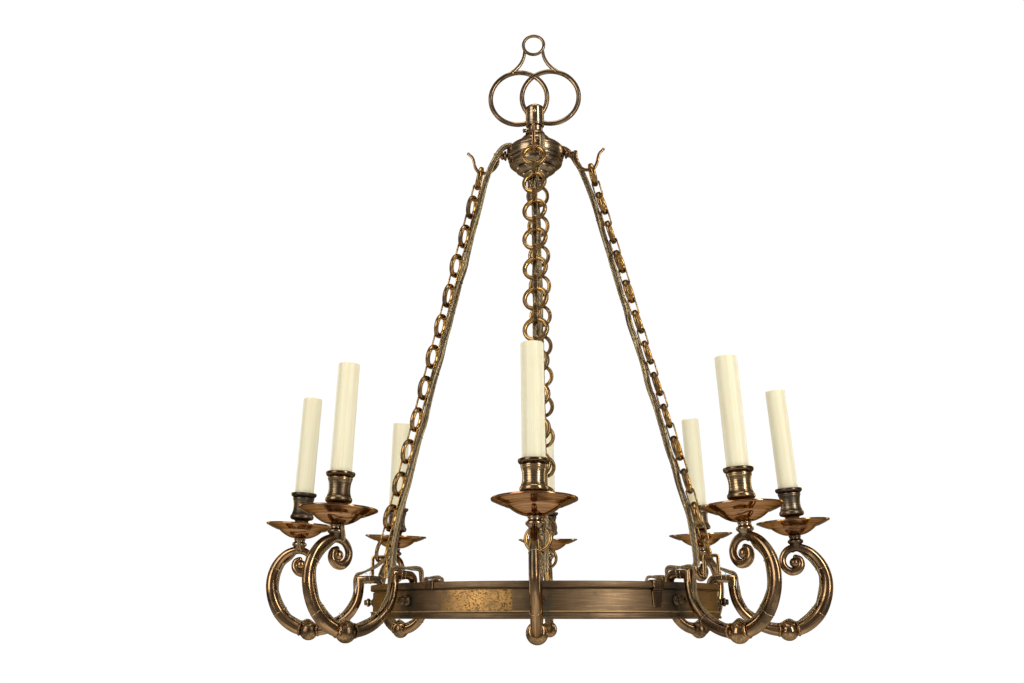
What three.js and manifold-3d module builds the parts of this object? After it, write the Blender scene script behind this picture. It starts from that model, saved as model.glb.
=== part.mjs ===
// An eight-arm hoop chandelier that hangs on four chains from a small turned hub.
// Millimetres, +Z up. The origin is the inside top of the hanging ring, where a ceiling hook bears.
// Heights inside the fixture group are counted from the middle of the hoop.
import * as THREE from "three";
import { mergeVertices } from "three/addons/utils/BufferGeometryUtils.js";
import Module from "manifold-3d";

const wasm = await Module();
wasm.setup();

// ---- Driving dimensions ----
const STATION_NAMES = [
  "front",
  "front_right",
  "right",
  "back_right",
  "back",
  "back_left",
  "left",
  "front_left",
];
const CHAIN_STATIONS = [0, 2, 4, 6];
const GAP = 0.3;
const LOOSE_GAP = 1;

const HOOP_RADIUS = 200;
const HOOP_WALL_RADIUS = 197;
const HOOP_INNER_RADIUS = 194;
const HOOP_HEIGHT = 36.4;
const HOOP_MOULDING = 6.8;

const CANDLE_CIRCLE_RADIUS = 290;
const CANDLE_LEAN_DEG = 3.4;
const ARM_TOP_HEIGHT = 65.4;

const RING_WIRE = 2;
const HANGING_RING_RADIUS = 13.5;
const HANGING_RING_HEIGHT = 711.3;
const LOOP_WIRE = 3.1;
const LOOP_RADIUS = 36.9;
const LOOP_OFFSET = 20.5;
const LOOP_HEIGHT = 635.3;
const ORIGIN_HEIGHT = HANGING_RING_HEIGHT + HANGING_RING_RADIUS - RING_WIRE;

const CHAIN_TOP = new THREE.Vector2(69.4, 538);
const CHAIN_BOTTOM = new THREE.Vector2(193, 47);
const ROUND_LINKS = 13;
const LINK_WIRE = 2;
const LINK_SIDES = 6;
const LINK_RADIUS = 13;
const LINK_TWIST_DEG = 24;
const STRAP_WIDTH = 10.8;
const STRAP_THICKNESS = 2;
const STRAP_DEPTH = 5.4;
const CHAIN_FLEX_RADIUS = 3.8;
const ARM_FLEX_RADIUS = 1.9;

// ---- Solid helpers ----
function solidFrom(geometry) {
  const bare = geometry.clone();
  bare.deleteAttribute("normal");
  bare.deleteAttribute("uv");
  const merged = mergeVertices(bare, 1e-3);
  const mesh = new wasm.Mesh({
    numProp: 3,
    vertProperties: merged.attributes.position.array,
    triVerts: new Uint32Array(merged.index.array),
  });
  return new wasm.Manifold(mesh);
}

function geometryFrom(solid) {
  const mesh = solid.getMesh();
  const geometry = new THREE.BufferGeometry();
  geometry.setAttribute("position", new THREE.BufferAttribute(mesh.vertProperties, 3));
  geometry.setIndex(new THREE.BufferAttribute(mesh.triVerts, 1));
  return geometry;
}

function join(...pieces) {
  return geometryFrom(pieces.map(solidFrom).reduce((whole, piece) => whole.add(piece)));
}

function cut(base, ...tools) {
  const cutters = tools.map(solidFrom);
  return geometryFrom(cutters.reduce((whole, cutter) => whole.subtract(cutter), solidFrom(base)));
}

// A turned piece about Z. The profile lists [radius, height] from the bottom of the axis, round the
// outside to the top; a ring's profile runs the same way and closes on itself.
function turned(profile, segments, isRing = false) {
  const points = profile.map(([radius, height]) => new THREE.Vector2(radius, height));
  if (isRing) points.push(points[0].clone());
  return new THREE.LatheGeometry(points, segments).rotateX(Math.PI / 2);
}

// A turned piece whose axis is X, for screws and collars that point out from the middle.
function turnedAlongX(profile, segments) {
  return turned(profile, segments).rotateY(Math.PI / 2);
}

function box(lowX, highX, lowY, highY, lowZ, highZ) {
  const geometry = new THREE.BoxGeometry(highX - lowX, highY - lowY, highZ - lowZ);
  return geometry.translate((lowX + highX) / 2, (lowY + highY) / 2, (lowZ + highZ) / 2);
}

function roundSection(sides) {
  const corners = Array.from({ length: sides }, (_, i) => {
    const angle = (2 * Math.PI * i) / sides;
    return new THREE.Vector2(Math.cos(angle), Math.sin(angle));
  });
  return new THREE.Shape(corners);
}

// A rod along a smooth curve. It starts as a straight unit rod, and each of its cross-sections is
// carried to its place on the curve, at the size that sizes gives there: [in the plane, across it].
// Each entry of points is [x, y, z, size in the plane, size across it].
function rod(points, steps, sides) {
  const curve = new THREE.CatmullRomCurve3(points.map(([x, y, z]) => new THREE.Vector3(x, y, z)), false);
  const unitRod = { depth: 1, steps, bevelEnabled: false };
  const geometry = new THREE.ExtrudeGeometry(roundSection(sides), unitRod);
  const position = geometry.attributes.position;
  const across = new THREE.Vector3(0, 1, 0);
  for (let i = 0; i < position.count; i++) {
    const along = Math.round(position.getZ(i) * steps) / steps;
    const span = along * (points.length - 1);
    const before = Math.min(Math.floor(span), points.length - 2);
    const inPlane = THREE.MathUtils.lerp(points[before][3], points[before + 1][3], span - before);
    const sideways = THREE.MathUtils.lerp(points[before][4], points[before + 1][4], span - before);
    const tangent = curve.getTangent(along);
    const normal = across.clone().cross(tangent).normalize();
    const binormal = tangent.clone().cross(normal);
    const centre = curve.getPoint(along);
    centre.addScaledVector(normal, position.getX(i) * inPlane);
    centre.addScaledVector(binormal, position.getY(i) * sideways);
    position.setXYZ(i, centre.x, centre.y, centre.z);
  }
  return geometry;
}

// ---- Materials ----
function metal(colour, roughness) {
  return new THREE.MeshStandardMaterial({ color: colour, roughness, metalness: 1 });
}
const BRONZE = metal(0x6f5330, 0.38);
const HOOP_BRONZE = metal(0x5e4a2e, 0.45);
const COPPER_BRONZE = metal(0x8a5a35, 0.32);
const FLEX_COVER = new THREE.MeshStandardMaterial({ color: 0x7a6238, roughness: 0.7, metalness: 0 });
const CANDLE_CARD = new THREE.MeshStandardMaterial({ color: 0xf0e4be, roughness: 0.55, metalness: 0 });

// ---- The object's groups ----
const chandelier = new THREE.Group();
const fixture = new THREE.Group();
fixture.position.z = -ORIGIN_HEIGHT;
chandelier.add(fixture);

function place(name, geometry, material, group = fixture) {
  const mesh = new THREE.Mesh(geometry, material);
  mesh.name = name;
  group.add(mesh);
}

// Inside a station's group +X points out from the fixture's axis.
const stations = STATION_NAMES.map((name, index) => {
  const group = new THREE.Group();
  group.rotation.z = (index * Math.PI) / 4 - Math.PI / 2;
  fixture.add(group);
  return { name, index, group, holdsChain: CHAIN_STATIONS.includes(index) };
});

// ---- Suspension: hanging ring, two legs and two crossed loops, brazed into one piece ----
function loop(side, wire) {
  return new THREE.TorusGeometry(LOOP_RADIUS, wire, 5, 16)
    .rotateX(Math.PI / 2)
    .translate(side * LOOP_OFFSET, 0, LOOP_HEIGHT);
}

function suspensionLeg(side) {
  const points = [[11.8, 703], [13.2, 694], [17.5, 685], [23.5, 677.5], [27.5, 672.5]];
  return rod(points.map(([x, z]) => [side * x, 0, z, 2.3, 2.3]), 5, 5);
}

const hangingRing = new THREE.TorusGeometry(HANGING_RING_RADIUS, RING_WIRE, 5, 12)
  .rotateX(Math.PI / 2)
  .translate(0, 0, HANGING_RING_HEIGHT);
place(
  "suspension_loops",
  join(loop(-1, LOOP_WIRE), loop(1, LOOP_WIRE), hangingRing, suspensionLeg(-1), suspensionLeg(1)),
  BRONZE,
);

const COLLAR_RADIUS = 11.9;
const COLLAR_BOTTOM = 594.5;
const COLLAR_TOP = 621;
const SPIGOT_RADIUS = 5.6;
const SPIGOT_BOTTOM = 583.2;
const collarBody = turned(
  [
    [0, SPIGOT_BOTTOM],
    [SPIGOT_RADIUS, SPIGOT_BOTTOM],
    [SPIGOT_RADIUS, COLLAR_BOTTOM],
    [COLLAR_RADIUS, COLLAR_BOTTOM],
    [COLLAR_RADIUS, COLLAR_TOP],
    [7, COLLAR_TOP + 2.2],
    [0, COLLAR_TOP + 3],
  ],
  12,
);
const collarPin = new THREE.CylinderGeometry(2.4, 2.4, 3, 6).translate(0, -COLLAR_RADIUS + 0.4, 612);
place(
  "suspension_collar",
  cut(join(collarBody, collarPin), loop(-1, LOOP_WIRE + GAP + 0.1), loop(1, LOOP_WIRE + GAP + 0.1)),
  BRONZE,
);

// ---- Hub: stem, canopy, bowl, locking screw and four hooks ----
const NECK_RADIUS = 9.75;
const SCREW_HEIGHT = 589.6;
const HOOK_HEIGHT = 555.4;
const HUB_RADIUS = 36.8;
const HUB_SHEET = 1.9;
const stemBody = turned(
  [
    [0, 514.5],
    [6, 514.5],
    [9, 517],
    [9, 520.6],
    [5, 520.6],
    [5, 575],
    [NECK_RADIUS, 575],
    [NECK_RADIUS, COLLAR_BOTTOM - GAP],
    [SPIGOT_RADIUS + 0.5, COLLAR_BOTTOM - GAP],
    [SPIGOT_RADIUS + 0.5, SPIGOT_BOTTOM - LOOSE_GAP],
    [0, SPIGOT_BOTTOM - LOOSE_GAP],
  ],
  12,
);
const screwHoleProfile = [[0, -14], [1.9, -14], [1.9, -2], [0, -2]];
const screwHole = turnedAlongX(screwHoleProfile, 8).translate(0, 0, SCREW_HEIGHT);
place("hub_stem", cut(stemBody, screwHole), BRONZE);

const thumbscrewProfile = [[0, -16], [2.6, -15.4], [2.6, -11.6], [1.5, -10.6], [1.5, -6.2], [0, -6.2]];
const thumbscrew = turnedAlongX(thumbscrewProfile, 8).translate(0, 0, SCREW_HEIGHT);
place("neck_thumbscrew", thumbscrew, BRONZE);

const CANOPY_BOTTOM = 560.2;
const canopyProfile = [
  [HUB_RADIUS, CANOPY_BOTTOM],
  [HUB_RADIUS, 561.8],
  [35.4, 563.6],
  [25.4, 571.2],
  [13.4, 581.8],
  [12, 585],
  [10.2, 585.8],
  [10.2, 583.4],
  [12, 579.8],
  [24.6, 568.6],
  [HUB_RADIUS - HUB_SHEET, CANOPY_BOTTOM],
];
place("hub_canopy", turned(canopyProfile, 16, true), BRONZE);

const BOWL_TOP = CANOPY_BOTTOM - GAP;
const bowlOutside = [
  [5.4, 521],
  [12.6, 521],
  [16, 524.6],
  [17.8, 528],
  [25, 531.4],
  [27, 536.4],
  [33.4, 540.2],
  [34.4, 547],
  [36.4, 549.6],
  [HUB_RADIUS, BOWL_TOP],
];
const bowlInside = [
  [HUB_RADIUS - HUB_SHEET, BOWL_TOP],
  [34.4, 550.4],
  [24, 537.4],
  [14.6, 528.6],
  [10.4, 523.4],
  [5.4, 523.4],
];
const hookHoles = [0, 1, 2, 3].map((quarter) =>
  turnedAlongX([[0, 33], [2.9, 33], [2.9, 40], [0, 40]], 6)
    .translate(0, 0, HOOK_HEIGHT)
    .rotateZ((quarter * Math.PI) / 2),
);
place("hub_bowl", cut(turned([...bowlOutside, ...bowlInside], 16, true), ...hookHoles), BRONZE);

// The threaded shank and nut, the turned collar, the squared corner, and the leaf that runs down
// into the hook's bend and up to its tip.
function hook() {
  const shankAndCollar = turnedAlongX(
    [
      [0, 28.5],
      [4.4, 28.5],
      [4.4, 32.2],
      [2.3, 32.2],
      [2.3, 37.2],
      [6.8, 37.9],
      [4.8, 41.2],
      [4.8, 44.4],
      [0, 44.4],
    ],
    6,
  ).translate(0, 0, HOOK_HEIGHT);
  const corner = box(43, 53.4, -2.6, 2.6, HOOK_HEIGHT - 3.2, HOOK_HEIGHT + 2.6);
  const leafAndBend = rod(
    [
      [50.2, 0, 556, 3.1, 2.5],
      [50.4, 0, 549, 3.6, 2.5],
      [52.6, 0, 541.6, 2.9, 2.4],
      [56, 0, 536, 2.3, 2.2],
      [61.5, 0, 533.2, 2, 2],
      [68.5, 0, 532.6, 2, 2],
      [74, 0, 534.8, 2, 2],
      [77.6, 0, 540.4, 2, 2],
      [79.4, 0, 547.6, 1.9, 2.1],
      [81.4, 0, 554.4, 1.7, 2.1],
      [87.2, 0, 560.4, 1.4, 2],
    ],
    12,
    5,
  );
  return join(shankAndCollar, corner, leafAndBend);
}

// ---- Chains: round links across, strap links along, joined where they bear on each other ----
const chainRun = CHAIN_BOTTOM.clone().sub(CHAIN_TOP);
const linkPitch = (chainRun.length() - 2 * LINK_RADIUS) / (ROUND_LINKS - 1);
const chainLean = -Math.atan2(chainRun.x, -chainRun.y);

// A round link is a polygon with a flat side at its top and bottom, where the straps bear. It hangs
// turned a little about the chain's own line.
function roundLink(index) {
  const halfSide = Math.PI / LINK_SIDES;
  return new THREE.TorusGeometry(LINK_RADIUS / Math.cos(halfSide), LINK_WIRE, 3, LINK_SIDES)
    .rotateZ(halfSide)
    .rotateY(Math.PI / 2)
    .rotateZ(-THREE.MathUtils.degToRad(LINK_TWIST_DEG))
    .translate(0, 0, -LINK_RADIUS - index * linkPitch);
}

function strapLink(index) {
  const bearing = linkPitch / 2 - LINK_RADIUS + LINK_WIRE / 2 - GAP;
  const outline = new THREE.Shape();
  const window = new THREE.Path();
  const drawn = [
    [outline, STRAP_WIDTH / 2, bearing + STRAP_THICKNESS],
    [window, STRAP_WIDTH / 2 - STRAP_THICKNESS, bearing],
  ];
  for (const [path, halfWidth, halfLength] of drawn) {
    path.moveTo(-halfWidth, -halfLength);
    path.lineTo(halfWidth, -halfLength);
    path.lineTo(halfWidth, halfLength);
    path.lineTo(-halfWidth, halfLength);
    path.closePath();
  }
  outline.holes.push(window);
  return new THREE.ExtrudeGeometry(outline, { depth: STRAP_DEPTH, bevelEnabled: false })
    .rotateX(Math.PI / 2)
    .translate(0, STRAP_DEPTH / 2, -LINK_RADIUS - (index + 0.5) * linkPitch);
}

function chain() {
  const rounds = Array.from({ length: ROUND_LINKS }, (_, index) => roundLink(index));
  const straps = Array.from({ length: ROUND_LINKS - 1 }, (_, index) => strapLink(index));
  return join(...rounds, ...straps).rotateY(chainLean).translate(CHAIN_TOP.x, 0, CHAIN_TOP.y);
}

// The flex leaves the canopy's edge, passes beside its hook, and lies along the chain's inner side.
function chainFlex() {
  const route = [
    [40.4, 8.8, 563.6],
    [44.6, 9.4, 559.4],
    [49, 9.6, 551],
    [53, 9.4, 540],
    [57.4, 8.8, 527],
    [61.2, 5.8, 514],
    [65, 1.8, 499],
    [69.6, 0, 482],
  ];
  const inward = 10;
  for (const height of [380, 280, 180, 100]) {
    const chainX = CHAIN_TOP.x + ((CHAIN_TOP.y - height) * chainRun.x) / -chainRun.y;
    route.push([chainX - inward, 0, height]);
  }
  route.push([176.6, 0, 62], [178.4, 0, 40]);
  return rod(route.map((point) => [...point, CHAIN_FLEX_RADIUS, CHAIN_FLEX_RADIUS]), 15, 5);
}

for (const station of stations.filter(({ holdsChain }) => holdsChain)) {
  place("hook_" + station.name, hook(), BRONZE, station.group);
  place("chain_" + station.name, chain(), BRONZE, station.group);
  place("chain_flex_" + station.name, chainFlex(), FLEX_COVER, station.group);
}

// ---- Hoop ----
const hoopHalf = HOOP_HEIGHT / 2;
const hoopRing = turned(
  [
    [HOOP_INNER_RADIUS, -hoopHalf],
    [HOOP_RADIUS, -hoopHalf],
    [HOOP_RADIUS, -hoopHalf + HOOP_MOULDING],
    [HOOP_WALL_RADIUS, -hoopHalf + HOOP_MOULDING],
    [HOOP_WALL_RADIUS, hoopHalf - HOOP_MOULDING],
    [HOOP_RADIUS, hoopHalf - HOOP_MOULDING],
    [HOOP_RADIUS, hoopHalf],
    [HOOP_INNER_RADIUS, hoopHalf],
  ],
  32,
  true,
);
const KNOB_SHANK = 2.1;
const KNOB_HOLE = 2.6;
const knobHoles = stations.map(({ group }) =>
  turnedAlongX([[0, 190], [KNOB_HOLE, 190], [KNOB_HOLE, 204], [0, 204]], 6).rotateZ(group.rotation.z),
);
place("hoop_band", cut(hoopRing, ...knobHoles), HOOP_BRONZE);

// ---- Arms ----
// The scroll runs from the bar's elbow down to the ball, up the outside and over into the volute.
const SCROLL = [
  [215, 27, 4.5],
  [215.4, 14, 4.5],
  [219, 0.5, 4.6],
  [227, -12, 5],
  [240, -23.4, 5.4],
  [256, -30, 5.6],
  [275, -31.6, 5.8],
  [290, -28, 6.8],
  [303.4, -20, 6.8],
  [313.6, -8, 6.6],
  [320.2, 7, 6.3],
  [322.2, 20, 6.1],
  [320.2, 33, 5.8],
  [314.6, 45, 5.5],
  [305, 55, 5.2],
  [292, 60.4, 4.6],
  [282, 58, 3.9],
  [275.6, 52.4, 3.7],
  [272.8, 45.4, 3.6],
  [274.8, 38.8, 3.6],
  [280.6, 35, 3.8],
  [287.2, 35.8, 3.9],
  [291, 40.4, 3.6],
];
const BALL = [275, -31.6, 10.6];
const VOLUTE_END = [286.4, 43, 5.6];
const BAR_HEIGHT = 26;
const BAR_HALF = 4.5;
const ELBOW = 215;
const TONGUE_INNER = 187;
const TONGUE_OUTER = HOOP_INNER_RADIUS - GAP - 0.5;

function ball([x, z, radius]) {
  return new THREE.SphereGeometry(radius, 7, 4).translate(x, 0, z);
}

function chainStaple() {
  const plate = box(183, 203, -2, 2, BAR_HEIGHT + BAR_HALF - 1, 54);
  const opening = box(187, 199, -4, 4, BAR_HEIGHT + BAR_HALF, 50);
  return cut(plate, opening);
}

// The lean brings the pan, cup and candle a little towards the fixture's axis.
function leaned(geometry) {
  return geometry
    .rotateY(-THREE.MathUtils.degToRad(CANDLE_LEAN_DEG))
    .translate(CANDLE_CIRCLE_RADIUS, 0, ARM_TOP_HEIGHT);
}

const BOBBIN_TOP = 8.3;
const NIPPLE_RADIUS = 3.5;
function arm(holdsChain) {
  const bracket = new THREE.Shape();
  bracket.moveTo(TONGUE_INNER, -10);
  bracket.lineTo(TONGUE_OUTER, -10);
  bracket.lineTo(TONGUE_OUTER, BAR_HEIGHT - BAR_HALF);
  bracket.lineTo(ELBOW + BAR_HALF, BAR_HEIGHT - BAR_HALF);
  bracket.lineTo(ELBOW + BAR_HALF, BAR_HEIGHT + BAR_HALF);
  bracket.lineTo(TONGUE_INNER, BAR_HEIGHT + BAR_HALF);
  bracket.closePath();
  const thickness = { depth: 2 * BAR_HALF, bevelEnabled: false };
  const barAndTongue = new THREE.ExtrudeGeometry(bracket, thickness)
    .rotateX(Math.PI / 2)
    .translate(0, BAR_HALF, 0);
  const scroll = rod(SCROLL.map(([x, z, size]) => [x, 0, z, size, size * 0.9]), 17, 5);
  const bobbinProfile = [[0, -4], [5.4, -4], [8.4, 3], [8.4, 5], [6.4, BOBBIN_TOP], [0, BOBBIN_TOP]];
  const bobbin = leaned(turned(bobbinProfile, 7));
  const pieces = [barAndTongue, scroll, ball(BALL), ball(VOLUTE_END), bobbin];
  if (holdsChain) pieces.push(chainStaple());
  const screwSeat = turnedAlongX([[0, 180], [KNOB_HOLE, 180], [KNOB_HOLE, 200], [0, 200]], 6);
  const nippleSeat = leaned(turned([[0, 3], [4.6, 3], [4.6, 12], [0, 12]], 6));
  return cut(join(...pieces), screwSeat, nippleSeat);
}

function knobScrew() {
  const reach = HOOP_WALL_RADIUS + GAP;
  return turnedAlongX(
    [
      [0, TONGUE_INNER + 1],
      [KNOB_SHANK, TONGUE_INNER + 1],
      [KNOB_SHANK, reach],
      [5.6, reach],
      [4.6, reach + 2.4],
      [2.6, reach + 4.4],
      [4.9, reach + 8.4],
      [3.8, reach + 11.6],
      [0, reach + 12.8],
    ],
    6,
  );
}

// ---- Pans, cups with their lampholders, and candle sleeves, along the leaning axis ----
const PAN_RADIUS = 40.8;
const panUnderside = [[4.4, 8.6], [12.4, 9], [27.6, 17], [PAN_RADIUS, 23.6]];
const panInside = [[PAN_RADIUS - 0.4, 24.8], [27, 18.7], [11.4, 10.1], [4.4, 10.1]];
const CUP_RIM = 62;
const SLEEVE_BOTTOM = 53.2;
const SLEEVE_TOP = 177;
const LAMPHOLDER_TOP = 170.6;

function cupAndLampholder() {
  return turned(
    [
      [0, 4],
      [NIPPLE_RADIUS, 4],
      [NIPPLE_RADIUS, 10.4],
      [8, 10.4],
      [8, 30.4],
      [13.8, 32.6],
      [11.6, 42],
      [14.8, 58.5],
      [14.8, CUP_RIM],
      [12.2, CUP_RIM],
      [12.2, SLEEVE_BOTTOM - 0.4],
      [5, SLEEVE_BOTTOM - 0.4],
      [5, 130],
      [9.2, 136],
      [9.2, LAMPHOLDER_TOP],
      [6.4, LAMPHOLDER_TOP],
      [6.4, 148],
      [0, 148],
    ],
    9,
  );
}

function sleeve() {
  const outer = 11.4;
  const inner = 10.4;
  const outside = [[outer, SLEEVE_BOTTOM], [outer, SLEEVE_TOP]];
  const inside = [[inner, SLEEVE_TOP], [inner, SLEEVE_BOTTOM]];
  return turned([...outside, ...inside], 12, true);
}

for (const { name, group, holdsChain } of stations) {
  place("arm_" + name, arm(holdsChain), BRONZE, group);
  place("knob_screw_" + name, knobScrew(), BRONZE, group);
  const pan = turned([...panUnderside, ...panInside], 12, true);
  place("drip_pan_" + name, leaned(pan), COPPER_BRONZE, group);
  place("candle_cup_" + name, leaned(cupAndLampholder()), BRONZE, group);
  place("candle_sleeve_" + name, leaned(sleeve()), CANDLE_CARD, group);
}

// ---- Wiring: a ring inside the hoop with a branch over each bar and along each scroll ----
const RING_FLEX_RADIUS = 2.4;
const RING_FLEX_CENTRE = 182.6;
const RING_FLEX_HEIGHT = 8;
const SIDE = BAR_HALF - 0.3;
const BRANCH_TOP = BAR_HEIGHT + BAR_HALF + ARM_FLEX_RADIUS + GAP;

// The branch lies on the hollow side of the scroll, clear of the ball.
function wiringBranch() {
  const size = [ARM_FLEX_RADIUS, ARM_FLEX_RADIUS];
  const route = [
    [RING_FLEX_CENTRE, SIDE, RING_FLEX_HEIGHT, ...size],
    [RING_FLEX_CENTRE, SIDE, 20, ...size],
    [183, SIDE, BRANCH_TOP - 2, ...size],
    [187.4, SIDE, BRANCH_TOP + 0.8, ...size],
    [200, SIDE, BRANCH_TOP + 0.4, ...size],
    [215, SIDE, BRANCH_TOP + 1.2, ...size],
    [221.6, SIDE, BRANCH_TOP - 0.6, ...size],
    [223.6, SIDE * 0.6, 24, ...size],
  ];
  const lastOnScroll = 13;
  for (let i = 1; i <= lastOnScroll; i++) {
    const [x, z, armSize] = SCROLL[i];
    const before = SCROLL[i - 1];
    const after = SCROLL[i + 1];
    const ahead = new THREE.Vector2(after[0] - before[0], after[1] - before[1]).normalize();
    const onBall = Math.hypot(x - BALL[0], z - BALL[1]) < 1;
    const away = (onBall ? BALL[2] : armSize) + ARM_FLEX_RADIUS + GAP + 0.6;
    route.push([x - ahead.y * away, 0, z + ahead.x * away, ...size]);
  }
  return rod(route, 20, 3);
}

const ringFlex = new THREE.TorusGeometry(RING_FLEX_CENTRE, RING_FLEX_RADIUS, 3, 32)
  .translate(0, 0, RING_FLEX_HEIGHT);
const branches = stations.map(({ group }) => wiringBranch().rotateZ(group.rotation.z));
place("wiring_harness", join(ringFlex, ...branches), FLEX_COVER);

export default chandelier;
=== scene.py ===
"""Looks of the eight-arm hoop chandelier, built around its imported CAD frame.

Shapes are drawn in millimetres. Inside a station's frame X points out from the fixture's axis, Y runs
along the tangent and Z is the height above the middle of the hoop, as in the CAD.
"""
import math
import random

import bpy
import numpy as np
from mathutils import Matrix


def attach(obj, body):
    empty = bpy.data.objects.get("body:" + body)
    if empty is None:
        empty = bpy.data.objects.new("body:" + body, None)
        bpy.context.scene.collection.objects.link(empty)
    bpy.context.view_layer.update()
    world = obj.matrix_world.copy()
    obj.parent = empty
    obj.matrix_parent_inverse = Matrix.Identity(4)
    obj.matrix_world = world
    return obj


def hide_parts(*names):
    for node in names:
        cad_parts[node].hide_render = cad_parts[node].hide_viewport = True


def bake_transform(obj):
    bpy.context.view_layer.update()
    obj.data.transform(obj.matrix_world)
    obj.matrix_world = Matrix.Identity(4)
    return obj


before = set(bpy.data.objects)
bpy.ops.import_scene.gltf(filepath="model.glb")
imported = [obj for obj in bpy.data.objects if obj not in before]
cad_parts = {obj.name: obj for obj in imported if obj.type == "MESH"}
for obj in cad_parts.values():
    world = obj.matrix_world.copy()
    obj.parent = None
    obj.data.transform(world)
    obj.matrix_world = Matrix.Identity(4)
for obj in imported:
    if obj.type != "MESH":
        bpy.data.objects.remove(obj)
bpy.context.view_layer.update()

STATIONS = ("front", "front_right", "right", "back_right", "back", "back_left", "left", "front_left")
CHAIN_STATIONS = (0, 2, 4, 6)
FRONT_STATIONS = (7, 0, 1)
MM = 0.001
ORIGIN_HEIGHT = 722.8
CANDLE_CIRCLE = 290.0
ARM_TOP = 65.4
LEAN = math.radians(3.4)
TAU = 2 * math.pi

# ---- Camera ----
camera_data = bpy.data.cameras.new("camera")
camera_data.sensor_width = 36
camera_data.lens = 41.39
camera_data.shift_x = 0.0488
camera_data.shift_y = -0.0600
camera_data.clip_end = 60
camera = bpy.data.objects.new("camera", camera_data)
camera.location = (0.0353, -1.413, -0.7437)
camera.rotation_euler = (math.radians(90 + 16.16), 0, math.radians(5.27))
bpy.context.scene.collection.objects.link(camera)
bpy.context.scene.camera = camera


# ---- Mesh helpers: a shape is its vertices, its faces and its straightened coordinates ----
MITRE_LIMIT = 0.35
CORD_TIP = 0.6
ON_AXIS = 0.02
NEARLY_STRAIGHT = math.radians(172)
CORNER_SHARE = 0.42


def superellipse(sides, power=2.0):
    angle = np.arange(sides) * TAU / sides
    c, s = np.cos(angle), np.sin(angle)
    k = 2.0 / power
    return np.stack([np.sign(c) * np.abs(c) ** k, np.sign(s) * np.abs(s) ** k], 1)


def grid_faces(rows, columns, wrap):
    faces = []
    for i in range(rows if wrap else rows - 1):
        a, b = i * columns, ((i + 1) % rows) * columns
        for j in range(columns):
            k = (j + 1) % columns
            faces.append((a + j, a + k, b + k, b + j))
    return faces


def facing_out(vertices, faces):
    """Turns every face round if the closed surface has a negative volume, so that it faces out."""
    corners = vertices[np.array([face[:3] for face in faces])]
    last = vertices[np.array([face[-1] for face in faces])]
    volume = np.einsum("ij,ij->", corners[:, 0], np.cross(corners[:, 1], corners[:, 2]))
    volume += np.einsum("ij,ij->", corners[:, 0], np.cross(corners[:, 2], last))
    return faces if volume > 0 else [tuple(reversed(face)) for face in faces]


def closed_tube(rings, locals_, wrap):
    """Joins rings of vertices into one closed surface, with a point at each end unless it wraps."""
    rows, columns = len(rings), len(rings[0])
    vertices = np.concatenate(rings)
    local = np.concatenate(locals_)
    faces = grid_faces(rows, columns, wrap)
    if not wrap:
        for row in (0, rows - 1):
            at = len(vertices)
            vertices = np.vstack([vertices, rings[row].mean(0)])
            local = np.vstack([local, locals_[row].mean(0)])
            base = row * columns
            for j in range(columns):
                k = (j + 1) % columns
                faces.append((base + k, base + j, at) if row == 0 else (base + j, base + k, at))
    return vertices, facing_out(vertices, faces), local


def spline(points, count):
    """A Catmull-Rom curve through the points, with any further columns carried along."""
    p = np.array(points, float)
    p = np.vstack([2 * p[0] - p[1], p, 2 * p[-1] - p[-2]])
    out = []
    for u in np.linspace(0, len(points) - 1, count):
        i = min(int(u), len(points) - 2)
        t = u - i
        a, b, c, d = p[i], p[i + 1], p[i + 2], p[i + 3]
        bend = 2 * a - 5 * b + 4 * c - d
        out.append(0.5 * (2 * b + (c - a) * t + bend * t * t + (3 * b - a - 3 * c + d) * t ** 3))
    return np.array(out)


def arc_length(points):
    return np.concatenate([[0], np.cumsum(np.linalg.norm(np.diff(points, axis=0), axis=1))])


def end_rows(end, neighbour, share):
    """Rows that round off a bar's end, from the end outward, over a share of its least half size."""
    step = end[:2] - neighbour[:2]
    step /= np.linalg.norm(step)
    reach = end[2:].min() * share
    return [
        np.concatenate([end[:2] + step * reach * math.sin(a), end[2:] * math.cos(a)])
        for a in np.radians([35, 60, 80])
    ]


def flat_sweep(path, section, closed=False, ends=(0.25, 0.25)):
    """A bar along a path in the XZ plane, mitred at corners.

    Path rows are x, z, half size in the plane and half size across. ends are the shares for end_rows.
    """
    path = np.array(path, float)
    start, end = (0, 0) if closed else ends
    if start:
        path = np.vstack([end_rows(path[0], path[1], start)[::-1], path])
    if end:
        path = np.vstack([path, end_rows(path[-1], path[-2], end)])
    p = path[:, :2]
    before = np.roll(p, 1, 0) if closed else np.vstack([2 * p[0] - p[1], p[:-1]])
    after = np.roll(p, -1, 0) if closed else np.vstack([p[1:], 2 * p[-1] - p[-2]])
    a = p - before
    b = after - p
    a /= np.linalg.norm(a, axis=1)[:, None]
    b /= np.linalg.norm(b, axis=1)[:, None]
    t = a + b
    t /= np.linalg.norm(t, axis=1)[:, None]
    mitre = np.clip((t * a).sum(1), MITRE_LIMIT, 1)
    normal = np.stack([-t[:, 1], t[:, 0]], 1) / mitre[:, None]
    along = arc_length(p)
    rings, locals_ = [], []
    for i, row in enumerate(path):
        u, v = section[:, 0] * row[2], section[:, 1] * row[3]
        rings.append(np.stack([p[i, 0] + normal[i, 0] * u, v, p[i, 1] + normal[i, 1] * u], 1))
        locals_.append(np.stack([u, v, np.full(len(u), along[i])], 1))
    return closed_tube(rings, locals_, closed)


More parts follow.
